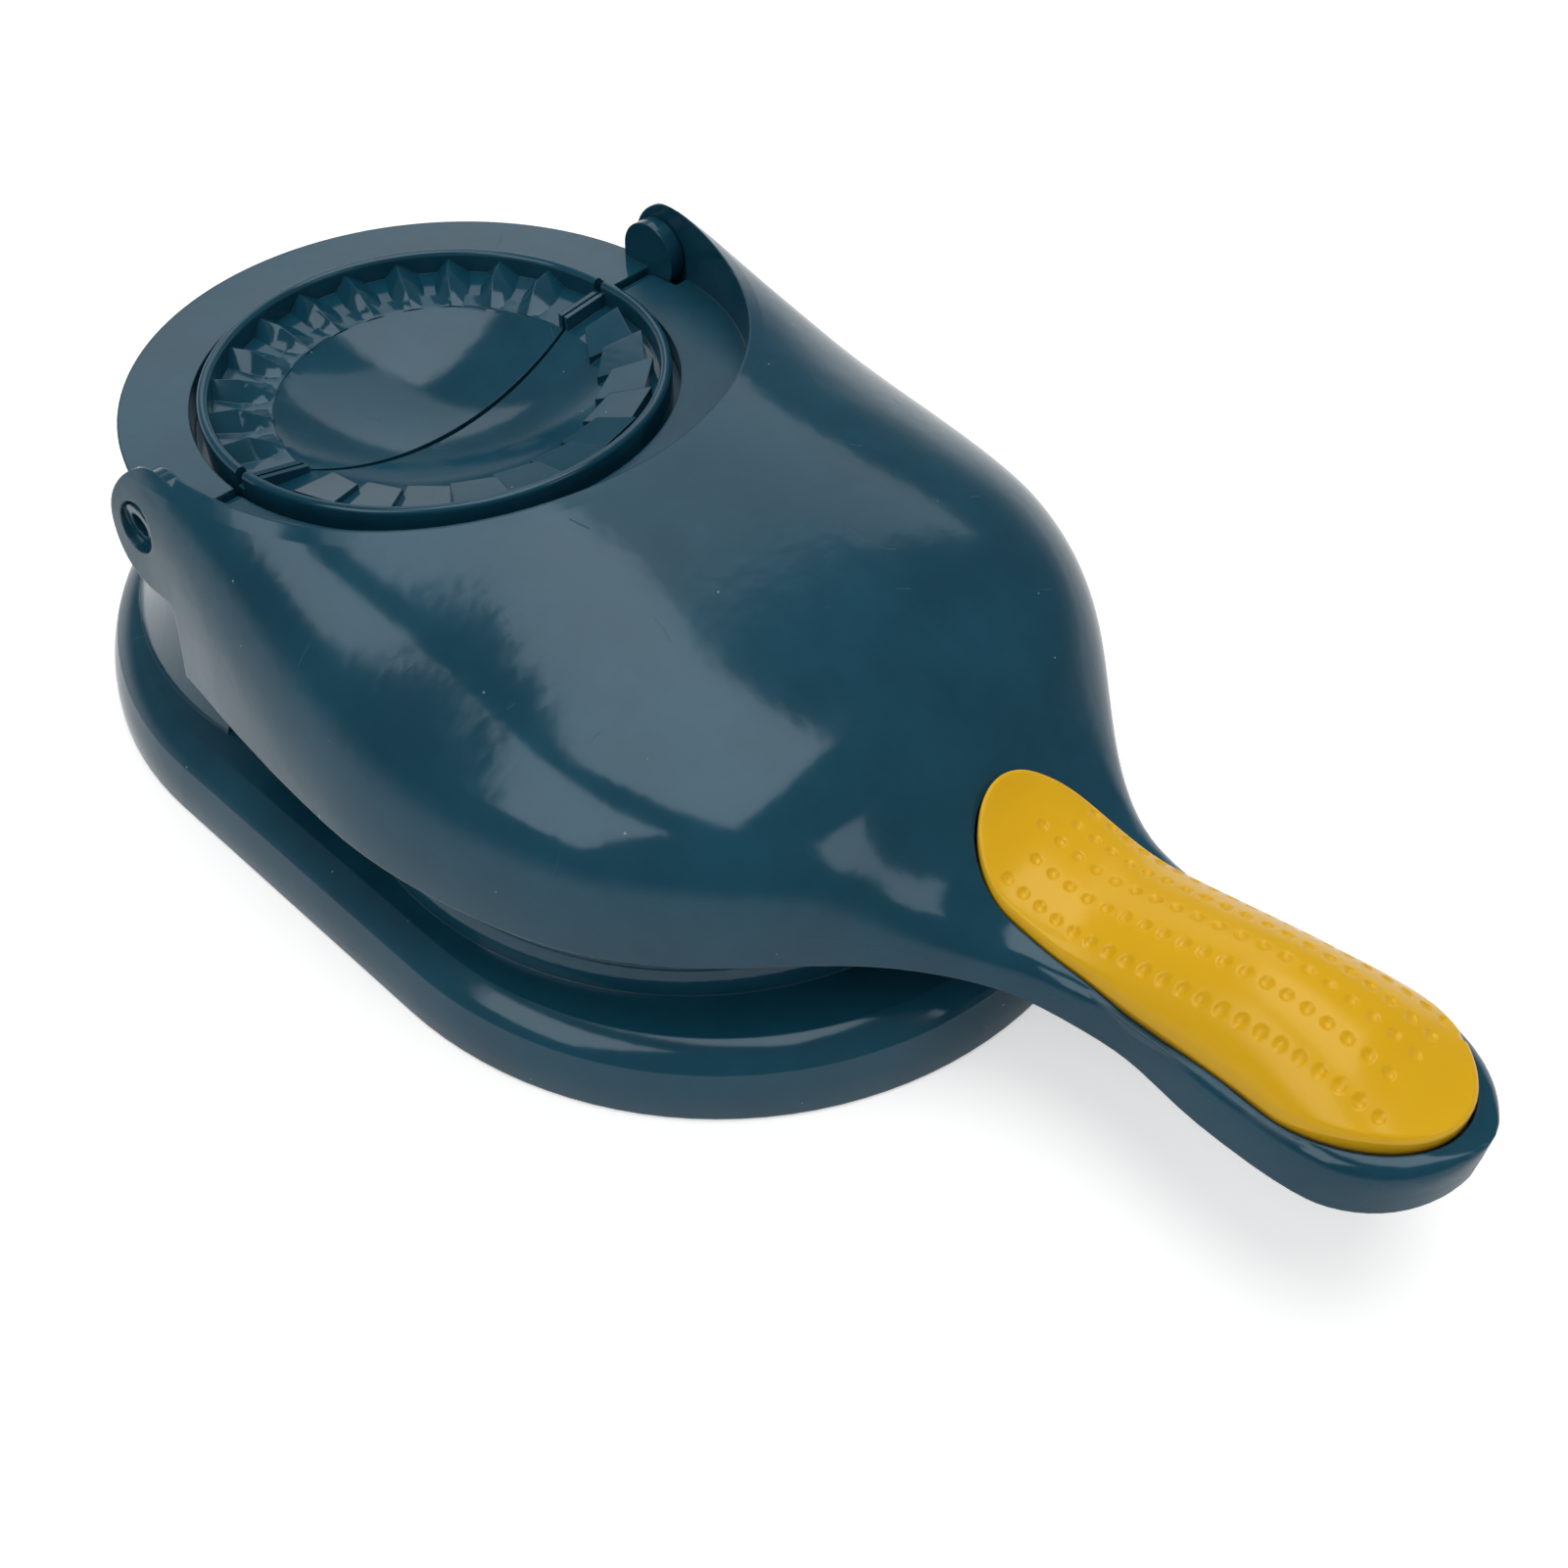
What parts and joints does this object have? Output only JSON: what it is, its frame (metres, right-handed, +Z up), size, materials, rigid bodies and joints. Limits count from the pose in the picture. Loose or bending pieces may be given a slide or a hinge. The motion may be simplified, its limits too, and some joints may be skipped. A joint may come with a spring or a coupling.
{
  "type": "empanada press",
  "caption": "Hand press for filled dough: a hinged cover flattens dough on a platform, and two mould halves at the hinge fold and crimp it.",
  "frame": {"origin": "under the middle of the whole length and width, on the surface that the press stands on", "axes": "+X along the handle, from the tower to the handle's tip, +Y along the hinge pins towards the far knuckle, +Z up"},
  "size_m": [0.2674, 0.1412, 0.0622],
  "materials": {
    "teal_plastic": "satin moulded polypropylene",
    "yellow_plastic": "satin moulded plastic",
    "rubber_feet": "matte",
    "steel_screws": "zinc plated"
  },
  "bodies": {
    "base": {"base_shell": "teal_plastic", "bottom_plate": "teal_plastic", "bottom_screws": "steel_screws", "foot_1": "rubber_feet", "foot_2": "rubber_feet", "foot_3": "rubber_feet", "foot_4": "rubber_feet", "dough_platform": "teal_plastic", "platform_screws": "steel_screws", "fixed_table": "teal_plastic", "table_screws": "steel_screws", "fixed_mould": "teal_plastic", "fixed_mould_screws": "steel_screws", "hinge_pin_near": "teal_plastic", "hinge_pin_far": "teal_plastic"},
    "cover": {"cover_shell": "teal_plastic", "moving_mould": "teal_plastic", "moving_mould_screws": "steel_screws", "press_plate": "teal_plastic", "handle_underside": "teal_plastic", "handle_grip": "yellow_plastic", "handle_screws": "steel_screws"}
  },
  "joints": [
    {"name": "cover_hinge", "type": "hinge", "parent": "base", "child": "cover", "pos_m": [-0.06915, 0, 0.0522], "axis": [0, -1, 0], "range_deg": [0, 176.8]}
  ]
}
